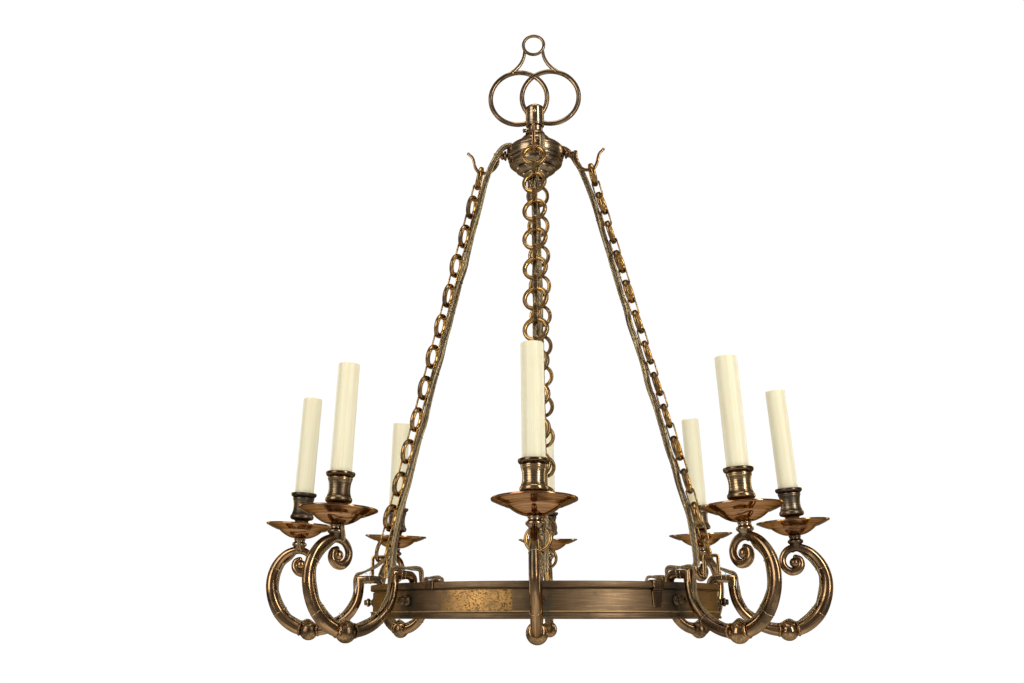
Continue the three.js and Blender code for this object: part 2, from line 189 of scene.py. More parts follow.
def transported(points, closed):
    """Two directions across a space curve that turn with it as little as they can."""
    if closed:
        tangents = np.roll(points, -1, 0) - np.roll(points, 1, 0)
    else:
        tangents = np.gradient(points, axis=0)
    tangents /= np.linalg.norm(tangents, axis=1)[:, None]
    first = np.cross(tangents[0], (0.0, 1.0, 0.0))
    if np.linalg.norm(first) < 0.2:
        first = np.cross(tangents[0], (1.0, 0.0, 0.0))
    side = [first / np.linalg.norm(first)]
    for t in tangents[1:]:
        s = side[-1] - t * np.dot(side[-1], t)
        side.append(s / np.linalg.norm(s))
    side = np.array(side)
    return side, np.cross(tangents, side)


def cord_sweep(points, radius, sides, closed):
    """A round cord along a space curve, with one radius or one for each point."""
    points = np.array(points, float)
    side, other = transported(points, closed)
    along = arc_length(points)
    circle = superellipse(sides)
    radii = np.broadcast_to(np.asarray(radius, float), (len(points),)).copy()
    if not closed:
        radii[[0, -1]] *= CORD_TIP
    rings, locals_ = [], []
    for i in range(len(points)):
        u, v = circle[:, 0] * radii[i], circle[:, 1] * radii[i]
        rings.append(points[i] + side[i] * u[:, None] + other[i] * v[:, None])
        locals_.append(np.stack([u, v, np.full(len(u), along[i])], 1))
    return closed_tube(rings, locals_, closed)


def twisted(points, strands, offset, radius, pitch, sides, closed=False, phase=0.0):
    """Strands laid round each other along a curve, one turn in each pitch."""
    side, other = transported(points, closed)
    along = arc_length(points)
    turns = along / pitch
    if closed:
        full = along[-1] + np.linalg.norm(points[0] - points[-1])
        turns = along / full * round(full / pitch)
    shapes = []
    for n in range(strands):
        angle = TAU * (turns + n / strands) + phase
        laid = points + side * (offset * np.cos(angle))[:, None] + other * (offset * np.sin(angle))[:, None]
        shapes.append(cord_sweep(laid, radius, sides, closed))
    return shapes


def rounded(profile, radius, steps=3, ring=False):
    """Rounds the corners of a profile of [radius, height] points."""
    p = np.array(profile, float)
    out = []
    count = len(p)
    for i in range(count):
        if not ring and i in (0, count - 1):
            out.append(p[i])
            continue
        a, b, c = p[i - 1], p[i], p[(i + 1) % count]
        ab, cb = a - b, c - b
        la, lc = np.linalg.norm(ab), np.linalg.norm(cb)
        if la < 1e-6 or lc < 1e-6:
            continue
        turn = math.acos(np.clip(np.dot(ab, cb) / (la * lc), -1, 1))
        if turn > NEARLY_STRAIGHT:
            out.append(b)
            continue
        reach = min(radius, CORNER_SHARE * la, CORNER_SHARE * lc)
        start, end = b + ab / la * reach, b + cb / lc * reach
        for t in np.linspace(0, 1, steps + 1):
            out.append((1 - t) ** 2 * start + 2 * t * (1 - t) * b + t * t * end)
    return np.array(out)


def turned(profile, segments, ring=False, axis="z"):
    """A turned piece. An open profile starts and ends on its axis; a ring's profile closes on itself."""
    profile = np.array(profile, float)
    if not ring:
        profile = np.array([[max(r, ON_AXIS), z] for r, z in profile])
    angle = np.arange(segments) * TAU / segments
    circle = np.stack([np.cos(angle), np.sin(angle)], 1)
    rings = [np.column_stack([circle * r, np.full(segments, z)]) for r, z in profile]
    vertices, faces, local = closed_tube(rings, rings, ring)
    if axis == "x":
        vertices = np.stack([vertices[:, 2], vertices[:, 1], -vertices[:, 0]], 1)
    if axis == "-y":
        vertices = np.stack([vertices[:, 0], -vertices[:, 2], vertices[:, 1]], 1)
    return vertices, faces, local


def ball(centre, radius, squeeze, segments):
    rows = segments // 2
    angles = [math.pi * k / rows for k in range(1, rows)]
    profile = [[radius * math.sin(a), -radius * math.cos(a)] for a in angles]
    vertices, faces, local = turned(profile, segments)
    vertices = vertices * (1, squeeze, 1) + centre
    return vertices, faces, local


def ring_xz(height, radius, wire, count, section):
    """A wire ring in the XZ plane, round a place on the Z axis."""
    angle = np.arange(count) * TAU / count
    half = np.full(count, wire)
    path = np.stack([radius * np.cos(angle), height + radius * np.sin(angle), half, half], 1)
    return flat_sweep(path, section, closed=True)


def moved(shape, matrix):
    vertices, faces, local = shape
    m = np.array(matrix)
    return vertices @ m[:3, :3].T + m[:3, 3], faces, local


CENTRE = Matrix.Translation((0, 0, -ORIGIN_HEIGHT))


def at_station(index, leaned=False):
    """The frame of a station, or of its leaning candle, whose Z axis runs up through pan and sleeve."""
    matrix = CENTRE @ Matrix.Rotation(index * math.pi / 4 - math.pi / 2, 4, "Z")
    if leaned:
        matrix = matrix @ Matrix.Translation((CANDLE_CIRCLE, 0, ARM_TOP)) @ Matrix.Rotation(-LEAN, 4, "Y")
    return matrix


def piece(name, shapes, matrix, material, body, replaces=(), sharp=38, blend=None):
    """One visible piece: its shapes joined as one mesh, in metres, riding on a body or, given blend, baked in
    place.
    """
    vertices, faces, local, first = [], [], [], 0
    for v, f, l in shapes:
        vertices.append(v)
        local.append(l)
        faces += [tuple(i + first for i in face) for face in f]
        first += len(v)
    m = np.array(matrix)
    v = np.concatenate(vertices) @ m[:3, :3].T + m[:3, 3]
    mesh = bpy.data.meshes.new(name)
    mesh.from_pydata((v * MM).tolist(), [], faces)
    mesh.materials.append(material)
    mesh.shade_smooth()
    mesh.set_sharp_from_angle(angle=math.radians(sharp))
    straightened = mesh.attributes.new("local", "FLOAT_VECTOR", "POINT")
    straightened.data.foreach_set("vector", np.concatenate(local).astype(np.float32).ravel())
    mesh.update()
    made = bpy.data.objects.new(name, mesh)
    bpy.context.scene.collection.objects.link(made)
    if blend:
        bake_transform(made)
    else:
        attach(made, body)
    if replaces:
        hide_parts(*replaces)


# ---- Material helpers ----
class Nodes:
    """The node tree of a material or of the world, built by short calls that give back output sockets."""

    def __init__(self, owner):
        owner.use_nodes = True
        self.owner = owner
        self.tree = owner.node_tree
        self.tree.nodes.clear()

    def new(self, kind, settings=None, **inputs):
        node = self.tree.nodes.new("ShaderNode" + kind)
        for key, value in (settings or {}).items():
            setattr(node, key, value)
        for key, value in inputs.items():
            self.put(node.inputs[key.replace("_", " ")], value)
        return node

    def put(self, socket, value):
        if isinstance(value, bpy.types.NodeSocket):
            self.tree.links.new(value, socket)
        else:
            socket.default_value = value

    def math(self, operation, a, b=0.0):
        node = self.new("Math", {"operation": operation})
        self.put(node.inputs[0], a)
        self.put(node.inputs[1], b)
        return node.outputs[0]

    def times(self, a, b):
        return self.math("MULTIPLY", a, b)

    def plus(self, a, b):
        return self.math("ADD", a, b)

    def minus(self, a, b):
        return self.math("SUBTRACT", a, b)

    def ramp(self, value, low, high, to_low=0.0, to_high=1.0):
        """A smooth step between two values, which may fall instead of rise."""
        node = self.new("MapRange", {"interpolation_type": "SMOOTHSTEP"}, Value=value)
        for key, number in (("From Min", low), ("From Max", high), ("To Min", to_low), ("To Max", to_high)):
            node.inputs[key].default_value = number
        return node.outputs[0]

    def mix(self, factor, a, b):
        node = self.new("Mix", {"data_type": "RGBA", "clamp_factor": True})
        self.put(node.inputs[0], factor)
        for socket, value in ((node.inputs[6], a), (node.inputs[7], b)):
            self.put(socket, value if isinstance(value, bpy.types.NodeSocket) else (*value, 1.0))
        return node.outputs[2]

    def noise(self, vector, scale, detail, roughness, distortion=0.0):
        form = {"Scale": scale, "Detail": detail, "Roughness": roughness, "Distortion": distortion}
        return self.new("TexNoise", Vector=vector, **form).outputs[0]

    def scaled(self, vector, scale):
        return self.new("Mapping", Vector=vector, Scale=scale).outputs[0]

    def place(self):
        """Where a point is on the object at rest, in metres."""
        return self.new("TexCoord").outputs["Object"]

    def local(self):
        """Where a point is on the straightened or upright shape, in millimetres."""
        return self.new("Attribute", {"attribute_name": "local"}).outputs["Vector"]

    def pointiness(self):
        """Above a half on edges and below it in hollows."""
        return self.new("NewGeometry").outputs["Pointiness"]

    def parts(self, vector):
        return self.new("SeparateXYZ", Vector=vector).outputs

    def bump(self, strength, distance, height):
        return self.new("Bump", Strength=strength, Distance=distance, Height=height).outputs[0]

    def turned_vector(self, around, fine):
        """Straightened coordinates that run round the axis, so that noise on them makes turning marks."""
        x, y, z = self.parts(self.local())
        radius = self.math("SQRT", self.plus(self.times(x, x), self.times(y, y)))
        height = self.times(self.plus(z, self.times(radius, 0.83)), fine)
        return self.new("CombineXYZ", X=self.times(x, around), Y=self.times(y, around), Z=height).outputs[0]

    def drawn_vector(self, around, along):
        """Straightened coordinates stretched along a rod, for its drawing marks."""
        return self.scaled(self.local(), (around, around, along))

    def finish(self, **inputs):
        shader = self.new("BsdfPrincipled", **inputs)
        self.new("OutputMaterial", Surface=shader.outputs[0])
        return self.owner


def material_nodes(name):
    return Nodes(bpy.data.materials.new(name))


def shade(colour, share):
    return tuple(share * c for c in colour)


EDGE_TINT = (0.50, 0.41, 0.32, 1.0)


def aged_metal(
    name, dark, middle, bright, grain, roughness=(0.16, 0.30), patina=(0.50, 0.66), green=None, pits=0.0,
    streaks=0.35, bump=0.022, inner_highlight=None, edge_highlight=None, lip=False, fineness=3.2
):
    """Old lacquered metal: brown patina in patches and hollows, bright edges, fine working marks.

    The bright edges are partly wear and partly painted highlight. The colour for a link's inner side paints a
    highlight there, the edge colour is for a painted highlight on the edges, and lip darkens the lip of a
    cup.
    """
    m = material_nodes(name)
    place = m.place()
    vector = m.turned_vector(0.02, 0.9) if grain == "turned" else m.drawn_vector(0.6, 0.03)
    marks = m.noise(vector, 1.0, 4, 0.55)
    close = m.turned_vector(0.03, fineness) if grain == "turned" else m.drawn_vector(2.2, 0.05)
    fine = m.noise(close, 1.0, 3, 0.55)
    cloud = m.noise(place, 34, 4, 0.50, 0.5)
    speck = m.noise(place, 300, 3, 0.55)
    pointiness = m.pointiness()
    colour = m.mix(m.ramp(marks, 0.42, 0.68), middle, bright)
    colour = m.mix(m.times(m.ramp(fine, 0.50, 0.72), streaks), colour, shade(middle, 0.4))
    stain = m.times(m.ramp(m.plus(cloud, m.times(m.minus(speck, 0.5), 0.14)), *patina), 0.8)
    colour = m.mix(stain, colour, dark)
    if green:
        colour = m.mix(m.times(m.ramp(m.noise(place, 24, 4, 0.5), 0.50, 0.68), 0.55), colour, green)
    # A painted highlight on the inner side of each link.
    if inner_highlight:
        inner = m.parts(m.local())[0]
        colour = m.mix(m.times(m.ramp(inner, 0.2, 1.5), 0.8), colour, inner_highlight)
    hollow = m.ramp(pointiness, 0.495, 0.44)
    colour = m.mix(m.times(hollow, 0.85), colour, shade(dark, 0.4))
    # Speckled light convex edges: partly wear, partly a painted highlight.
    wear_and_highlight = m.times(m.ramp(pointiness, 0.52, 0.60), m.ramp(speck, 0.05, 0.80))
    colour = m.mix(m.times(wear_and_highlight, 0.95 if edge_highlight else 0.7), colour, edge_highlight or bright)
    if lip:
        colour = m.mix(m.times(m.ramp(m.parts(m.local())[2], 54.4, 57.0), 0.65), colour, dark)
    rough = m.plus(m.ramp(cloud, 0.35, 0.7, *roughness), m.times(stain, 0.08))
    height = m.plus(m.times(marks, 0.6), m.plus(m.times(fine, 0.25), m.times(speck, 0.08)))
    if pits:
        holes = m.ramp(m.noise(place, 700, 3, 0.7), 0.36, 0.30)
        colour = m.mix(m.times(holes, pits), colour, shade(dark, 0.35))
        height = m.minus(height, m.times(holes, pits))
    normal = m.bump(bump, 0.0006, height)
    return m.finish(Base_Color=colour, Metallic=1.0, Roughness=rough, Normal=normal, Specular_Tint=EDGE_TINT)


DARK = (0.054, 0.033, 0.022)
MIDDLE = (0.255, 0.155, 0.080)
BRIGHT = (0.54, 0.365, 0.19)
GREEN = (0.085, 0.080, 0.048)

hub_brass = aged_metal(
    "aged_brass_turned", DARK, (0.260, 0.182, 0.110), (0.54, 0.395, 0.23), "turned", green=GREEN
)
cup_brass = aged_metal(
    "aged_brass_cups", DARK, (0.27, 0.185, 0.100), (0.58, 0.41, 0.21), "turned", (0.20, 0.30), green=GREEN,
    pits=0.3, streaks=0.12, lip=True
)
cup_dark = aged_metal(
    "blackened_brass_cups", (0.050, 0.038, 0.030), (0.15, 0.112, 0.075), (0.34, 0.25, 0.16), "turned",
    (0.28, 0.40), green=GREEN, pits=0.6, bump=0.06, lip=True
)
# The pans' pale edge colour is a painted highlight along their rims.
pan_brass = aged_metal(
    "aged_brass_pans", (0.085, 0.036, 0.018), (0.32, 0.157, 0.072), (0.68, 0.38, 0.17), "turned",
    (0.08, 0.17), (0.52, 0.68), streaks=0.85, fineness=1.1, edge_highlight=(0.98, 0.80, 0.62)
)
arm_brass = aged_metal(
    "aged_brass_arms", DARK, MIDDLE, (0.62, 0.365, 0.160), "drawn", (0.12, 0.25), (0.47, 0.64),
    green=(0.12, 0.105, 0.06)
)
loop_brass = aged_metal("aged_brass_loops", DARK, (0.175, 0.112, 0.064), BRIGHT, "drawn", patina=(0.46, 0.62))
# The chain's orange inner colour is a painted highlight on each link's inner side.
chain_brass = aged_metal(
    "aged_brass_chain", DARK, (0.195, 0.118, 0.055), (0.68, 0.41, 0.14), "drawn", patina=(0.44, 0.62),
    pits=0.4, inner_highlight=(0.74, 0.42, 0.12)
)
screw_brass = aged_metal(
    "aged_brass_screws", DARK, (0.20, 0.135, 0.070), BRIGHT, "turned", patina=(0.42, 0.60)
)
wire_brass = aged_metal(
    "bright_binding_wire", (0.20, 0.13, 0.06), (0.62, 0.45, 0.22), (0.85, 0.66, 0.36), "drawn",
    (0.22, 0.34), (0.55, 0.75)
)


def hoop_material():
    """The band: brushed round its length, pitted and painted with a gold reflection in one stretch, dark
    round the knob screws.
    """
    m = material_nodes("aged_brass_hoop")
    place = m.place()
    x, y, z = m.parts(place)
    azimuth = m.math("ARCTAN2", x, m.times(y, -1.0))
    degrees = m.times(azimuth, 180 / math.pi)
    around = {"X": m.times(m.math("SINE", azimuth), 7.0), "Y": m.times(m.math("COSINE", azimuth), 7.0)}
    round_band = m.new("CombineXYZ", **around, Z=m.times(z, 1500.0)).outputs[0]
    brushed = m.noise(round_band, 1.0, 4, 0.62)
    broad = m.noise(place, 13, 4, 0.6)
    cloud = m.noise(place, 60, 7, 0.66)
    speck = m.noise(place, 520, 4, 0.65)
    pointiness = m.pointiness()
    colour = m.mix(m.ramp(broad, 0.40, 0.62), (0.132, 0.085, 0.046), (0.195, 0.123, 0.063))
    colour = m.mix(m.times(m.ramp(brushed, 0.46, 0.70), 0.65), colour, (0.31, 0.200, 0.105))
    colour = m.mix(m.times(m.ramp(cloud, 0.54, 0.72), 0.35), colour, DARK)
    # A gold-coloured stretch beside the front arm: a painted reflection of the left softbox, with its dark
    # pits.
    reflection_and_pits = m.times(m.ramp(degrees, -34, -24), m.ramp(degrees, -7.6, -8.1))
    reflection_and_pits = m.times(reflection_and_pits, m.ramp(cloud, 0.80, 0.45))
    wall = m.times(m.ramp(z, -0.7346, -0.7336), m.ramp(z, -0.7124, -0.7132))
    reflection_and_pits = m.times(reflection_and_pits, wall)
    # A painted highlight along the top of the bead under the wall.
    bead = m.times(m.ramp(z, -0.7350, -0.7346), m.ramp(z, -0.7332, -0.7336))
    colour = m.mix(m.times(bead, 0.75), colour, (0.60, 0.38, 0.15))
    pit = m.ramp(m.noise(m.scaled(place, (1.0, 1.0, 1.5)), 430, 3, 0.7), 0.485, 0.435)
    colour = m.mix(m.times(reflection_and_pits, 0.85), colour, (0.44, 0.240, 0.074))
    colour = m.mix(m.times(m.times(reflection_and_pits, pit), 0.9), colour, (0.05, 0.03, 0.015))
    # Darkened metal round each knob screw: the azimuth folded onto one eighth of a turn.
    fold = m.math("PINGPONG", m.plus(degrees, 360.0), 22.5)
    near_knob = m.times(m.ramp(fold, 5.2, 2.6), m.ramp(m.noise(place, 85, 5, 0.6), 0.34, 0.56))
    colour = m.mix(m.times(near_knob, 0.75), colour, (0.075, 0.068, 0.050))
    hollow = m.ramp(pointiness, 0.49, 0.42)
    colour = m.mix(m.times(hollow, 0.9), colour, (0.03, 0.02, 0.012))
    # Speckled light edges and mouldings: partly wear, partly a painted sheen.
    wear_and_highlight = m.times(m.ramp(pointiness, 0.53, 0.62), m.ramp(speck, 0.36, 0.55))
    colour = m.mix(m.times(wear_and_highlight, 0.75), colour, (0.56, 0.39, 0.19))
    rough = m.plus(m.ramp(cloud, 0.3, 0.7, 0.40, 0.50), m.times(near_knob, 0.10))
    holes = m.times(m.times(reflection_and_pits, pit), 0.8)
    height = m.plus(m.times(brushed, 0.7), m.minus(m.times(speck, 0.25), holes))
    normal = m.bump(0.10, 0.0006, height)
    return m.finish(Base_Color=colour, Metallic=1.0, Roughness=rough, Normal=normal, Specular_Tint=EDGE_TINT)


def flex_material(name, light, dark, turns):
    """Cloth-covered cord: gold threads laid on a slant, with painted shade in the grooves between them."""
    m = material_nodes(name)
    x, y, z = m.parts(m.local())
    angle = m.math("DIVIDE", m.math("ARCTAN2", y, x), TAU)
    slant = m.plus(m.times(angle, 3.0), m.times(z, turns))
    wave = m.math("SINE", m.times(slant, TAU))
    thread = m.math("SINE", m.times(m.minus(m.times(angle, 9.0), m.times(z, turns * 2.2)), TAU))
    place = m.place()
    wear = m.noise(place, 90, 5, 0.6)
    groove_shade = m.ramp(wave, -0.2, -0.85)
    colour = m.mix(m.ramp(wear, 0.40, 0.62), light, shade(light, 0.62))
    colour = m.mix(m.times(groove_shade, 0.85), colour, dark)
    colour = m.mix(m.times(m.ramp(thread, 0.2, 0.9), 0.35), colour, shade(light, 1.5))
    height = m.plus(m.times(wave, 0.6), m.times(thread, 0.3))
    normal = m.bump(0.5, 0.0004, height)
    return m.finish(
        Base_Color=colour, Metallic=0.7, Roughness=m.ramp(wear, 0.3, 0.7, 0.28, 0.42), Normal=normal
    )


def candle_material():
    """Cream card: faint vertical streaks, a slight waxy gloss and a little dust."""
    m = material_nodes("cream_card")
    streak = m.noise(m.drawn_vector(0.55, 0.010), 1.0, 4, 0.55)
    fibre = m.noise(m.drawn_vector(2.6, 0.11), 1.0, 4, 0.6)
    place = m.place()
    cloud = m.noise(place, 30, 4, 0.5)
    z = m.parts(m.local())[2]
    colour = m.mix(m.ramp(streak, 0.36, 0.66), (0.955, 0.835, 0.545), (0.99, 0.915, 0.66))
    colour = m.mix(m.times(m.ramp(fibre, 0.50, 0.75), 0.25), colour, (0.90, 0.80, 0.54))
    colour = m.mix(m.times(m.ramp(cloud, 0.5, 0.75), 0.18), colour, (0.89, 0.79, 0.53))
    # Darker towards the bottom, just above the cup's lip.
    colour = m.mix(m.times(m.ramp(z, 68.0, 60.0), 0.45), colour, (0.74, 0.60, 0.34))
    height = m.plus(m.times(fibre, 0.6), m.times(streak, 0.4))
    normal = m.bump(0.12, 0.0005, height)
    rough = m.ramp(cloud, 0.3, 0.7, 0.38, 0.5)
    under = {"Subsurface_Weight": 0.2, "Subsurface_Radius": (0.006, 0.004, 0.002), "Subsurface_Scale": 0.4}
    return m.finish(Base_Color=colour, Roughness=rough, Normal=normal, **under)


def phenolic_material():
    """The lampholder's dark moulded body, with dust and fine scratches."""
    m = material_nodes("dark_phenolic")
    dust = m.noise(m.place(), 160, 6, 0.65)
    marks = m.noise(m.turned_vector(0.05, 2.0), 1.0, 4, 0.6)
    colour = m.mix(m.ramp(dust, 0.48, 0.72), (0.022, 0.014, 0.010), (0.10, 0.075, 0.05))
    normal = m.bump(0.15, 0.0004, marks)
    return m.finish(Base_Color=colour, Roughness=m.ramp(dust, 0.3, 0.7, 0.28, 0.55), Normal=normal)


def tie_material():
    """Dark waxed thread."""
    m = material_nodes("dark_thread")
    z = m.parts(m.local())[2]
    lay = m.math("SINE", m.times(z, 9.0))
    colour = m.mix(m.ramp(lay, -0.6, 0.8), (0.02, 0.014, 0.009), (0.09, 0.062, 0.035))
    normal = m.bump(0.4, 0.0003, lay)
    return m.finish(Base_Color=colour, Roughness=0.55, Normal=normal)


hoop_brass = hoop_material()
chain_flex = flex_material("braided_flex", (0.58, 0.44, 0.22), (0.13, 0.085, 0.04), 0.16)
# A darker copy of the braided flex for every other chain strand: painted shade between the strands.
painted_shade_flex = flex_material("braided_flex_painted_shade", (0.24, 0.17, 0.095), (0.05, 0.033, 0.02), 0.16)
arm_flex = flex_material("twisted_flex", (0.35, 0.24, 0.115), (0.08, 0.048, 0.022), 0.30)
candle_card = candle_material()
phenolic = phenolic_material()
thread = tie_material()

WIRE_ROUND = superellipse(14)
ROUND = superellipse(16)
ROUND_FINE = superellipse(22)
SQUARED = superellipse(20, 5.0)
SOFT_SQUARE = superellipse(20, 3.2)


# ---- Suspension ----
def suspension():
    ring = [ring_xz(711.3, 13.5, 2.05, 64, WIRE_ROUND)]
    piece("hanging_ring", ring, CENTRE, loop_brass, "suspension", ["suspension_loops"])
    for side, word in ((-1, "left"), (1, "right")):
        rows = [
            [11.9, 703.5, 1.9], [13.2, 694, 2.2], [17.2, 685, 2.35], [23.0, 677.6, 2.5], [27.6, 673.0, 3.2],
            [29.0, 671.6, 3.5]
        ]
        path = [[side * x, z, r, r] for x, z, r in spline(rows, 26)]
        piece(
            f"suspension_leg_{word}", [flat_sweep(path, ROUND)], CENTRE, loop_brass,
            "suspension", ["suspension_loops"]
        )
        turn = Matrix.Rotation(side * math.radians(0.9), 4, "Z")
        loop = moved(
            ring_xz(0, 36.9, 3.1, 96, WIRE_ROUND), Matrix.Translation((side * 20.5, 0, 635.3)) @ turn
        )
        piece(
            f"suspension_loop_{word}", [loop], CENTRE, loop_brass, "suspension",
            ["suspension_loops"]
        )
    body = [
        [0, 583.2], [5.6, 583.2], [5.6, 594.5], [11.2, 594.5], [11.9, 595.2], [11.9, 596.4], [11.5, 596.9],
        [11.9, 597.4], [11.9, 619.6], [11.3, 621.2], [8.6, 623.2], [4, 624.1], [0, 624.2],
    ]
    collar = turned(rounded(body, 0.5), 72)
    piece(
        "suspension_collar_barrel", [collar], CENTRE, hub_brass, "suspension",
        ["suspension_collar"]
    )
    pin_profile = rounded([[0, 10.4], [2.5, 10.4], [2.5, 11.9], [2.2, 12.6], [1.4, 13.2], [0, 13.5]], 0.5)
    pin = moved(turned(pin_profile, 28, axis="-y"), Matrix.Translation((0, 0, 612)))
    piece(
        "suspension_collar_pin", [pin], CENTRE, wire_brass, "suspension", ["suspension_collar"]
    )


# ---- Hub ----
def hub():
    stem = [
        [0, 514.3], [4.2, 514.5], [6.0, 515.6], [6.6, 516.8], [9.0, 517.2], [9.2, 519.2], [8.6, 520.6],
        [5, 520.6], [5, 575], [9.2, 575], [9.2, 584.6], [8.4, 585.4], [8.4, 586.4], [9.75, 587.2],
        [9.75, 593.6], [9.2, 594.2], [6.1, 594.2], [6.1, 582.2], [0, 582.2]
    ]
    piece(
        "hub_stem_and_nut", [turned(rounded(stem, 0.45), 64)], CENTRE, hub_brass, "hub",
        ["hub_stem"]
    )
    canopy = [
        [10.2, 585.8], [11.4, 585.8], [12.4, 584.8], [12.9, 583.2], [13.4, 581.9], [17.0, 578.4],
        [20.4, 574.6], [21.6, 572.4], [21.6, 571.0], [24.0, 571.2], [27.2, 570.2], [30.6, 568.0],
        [33.6, 565.2], [35.2, 563.4], [35.6, 562.6], [36.8, 562.0], [37.0, 561.0], [36.7, 560.2],
        [34.9, 560.2], [32.0, 563.2], [24.6, 568.8], [12, 579.8], [10.2, 583.4]
    ]
    piece(
        "hub_canopy_shell", [turned(rounded(canopy, 0.8, 3, True), 96, True)], CENTRE, hub_brass,
        "hub", ["hub_canopy"]
    )
    bowl = [
        [5.4, 521.0], [11.8, 521.0], [13.4, 522.0], [13.8, 523.6], [13.2, 524.6], [14.2, 525.0],
        [16.8, 526.0], [17.6, 527.6], [17.0, 528.8], [18.2, 529.2], [22.8, 530.8], [25.2, 532.6],
        [25.8, 534.8], [25.0, 536.2], [26.4, 536.6], [30.8, 538.4], [33.4, 540.8], [34.0, 543.0],
        [33.2, 544.6], [33.2, 545.4], [34.9, 546.4], [35.4, 548.2], [34.6, 549.8], [34.8, 550.6],
        [36.2, 551.2], [36.9, 553.6], [36.8, 559.9], [34.9, 559.9], [33.0, 550.4], [30.6, 541.6],
        [24, 537.4], [14.6, 529.2], [10.4, 523.4], [5.4, 523.4]
    ]
    piece(
        "hub_bowl_shell", [turned(rounded(bowl, 0.7, 3, True), 96, True)], CENTRE, hub_brass,
        "hub", ["hub_bowl"]
    )
    knob = [
        [0, -6.2], [1.5, -6.2], [1.5, -10.6], [2.3, -11.2], [2.75, -12.2], [2.3, -13.0], [1.9, -13.3],
        [2.7, -14.0], [2.9, -15.0], [2.2, -15.9], [0, -16.2]
    ]
    screw = moved(turned(rounded(knob, 0.3), 32, axis="x"), Matrix.Translation((0, 0, 589.6)))
    piece(
        "neck_locking_screw", [screw], CENTRE, screw_brass, "locking_screw",
        ["neck_thumbscrew"]
    )


def hook(index):
    name = STATIONS[index]
    height = 555.4
    collar = [
        [0, 28.5], [4.4, 28.5], [4.4, 32.2], [2.4, 32.2], [2.4, 37.2], [5.4, 37.4], [6.7, 38.4],
        [6.5, 39.6], [5.0, 40.6], [4.3, 41.6], [5.2, 42.4], [5.2, 43.8], [4.2, 44.6], [0, 44.6]
    ]
    shank = moved(turned(rounded(collar, 0.35), 36, axis="x"), Matrix.Translation((0, 0, height)))
    neck_rows = [[43.8, height, 3.0, 2.6], [47.5, 555.6, 3.1, 2.6]]
    leaf_rows = [
        [50.6, 555.6, 3.1, 2.6], [50.3, 549, 3.9, 2.3], [51.4, 544.8, 4.1, 2.2], [53.4, 540, 3.2, 2.3],
        [56.6, 535.8, 2.4, 2.2], [61.8, 533.2, 2.1, 2.1], [68.5, 532.6, 2.1, 2.1], [74, 534.8, 2.05, 2.1],
        [77.6, 540.4, 2.0, 2.15], [79.4, 547.6, 1.9, 2.2], [81.4, 554.2, 1.75, 2.1], [86.0, 559.2, 1.6, 1.9]
    ]
    path = np.vstack([neck_rows, spline(leaf_rows, 64)])
    bent = flat_sweep(path, SOFT_SQUARE, ends=(0.2, 0.2))
    tip = ball((86.7, 0, 559.9), 2.1, 1, 20)
    corner = flat_sweep([[50.4, 551.5, 3.3, 2.75], [51.6, 558.6, 2.4, 2.7]], SQUARED, ends=(0.4, 0.4))
    piece(
        f"hook_{name}_forging", [shank, bent, tip, corner], at_station(index), arm_brass,
        "hub", [f"hook_{name}"]
    )


# ---- Chains ----
CHAIN_TOP = np.array((69.4, 538.0))
CHAIN_BOTTOM = np.array((193.0, 47.0))
LINKS = 13
LINK_RADIUS = 13.0
LINK_WIRE = 2.25
LINK_TWIST = math.radians(-15)
CHAIN_RUN = CHAIN_BOTTOM - CHAIN_TOP
PITCH = (np.linalg.norm(CHAIN_RUN) - 2 * LINK_RADIUS) / (LINKS - 1)
CHAIN_LEAN = -math.atan2(CHAIN_RUN[0], -CHAIN_RUN[1])
STRAP_HALF = 5.4
STRAP_THICK = 1.9
STRAP_DEPTH = 5.4
FLEX_INWARD = 9.1
STRANDS = 5
STRAND_OFFSET = 2.45
STRAND_RADIUS = 1.42
STRAND_PITCH = 330
TIE_INWARD = 9.3
TIE_RADIUS = 3.95


def chain_matrix(index):
    top = Matrix.Translation((CHAIN_TOP[0], 0, CHAIN_TOP[1]))
    return at_station(index) @ top @ Matrix.Rotation(CHAIN_LEAN, 4, "Y")


def round_link(i, rng):
    """One round link. The first hangs square in its hook, and the last is thinner to clear its staple."""
    section = superellipse(14, 2.8) * ((1.05, 1.25) if i < LINKS - 1 else (0.85, 0.95))
    link = ring_xz(0, LINK_RADIUS, LINK_WIRE, 44, section)
    turn = math.pi / 2 + LINK_TWIST * min(i, 1) + math.radians(rng.uniform(-4, 4))
    spin = rng.uniform(0, TAU)
    spun = moved(link, Matrix.Rotation(spin, 4, "Y"))
    place = Matrix.Translation((rng.uniform(-0.3, 0.3), 0, -LINK_RADIUS - i * PITCH))
    return moved(spun, place @ Matrix.Rotation(turn, 4, "Z"))


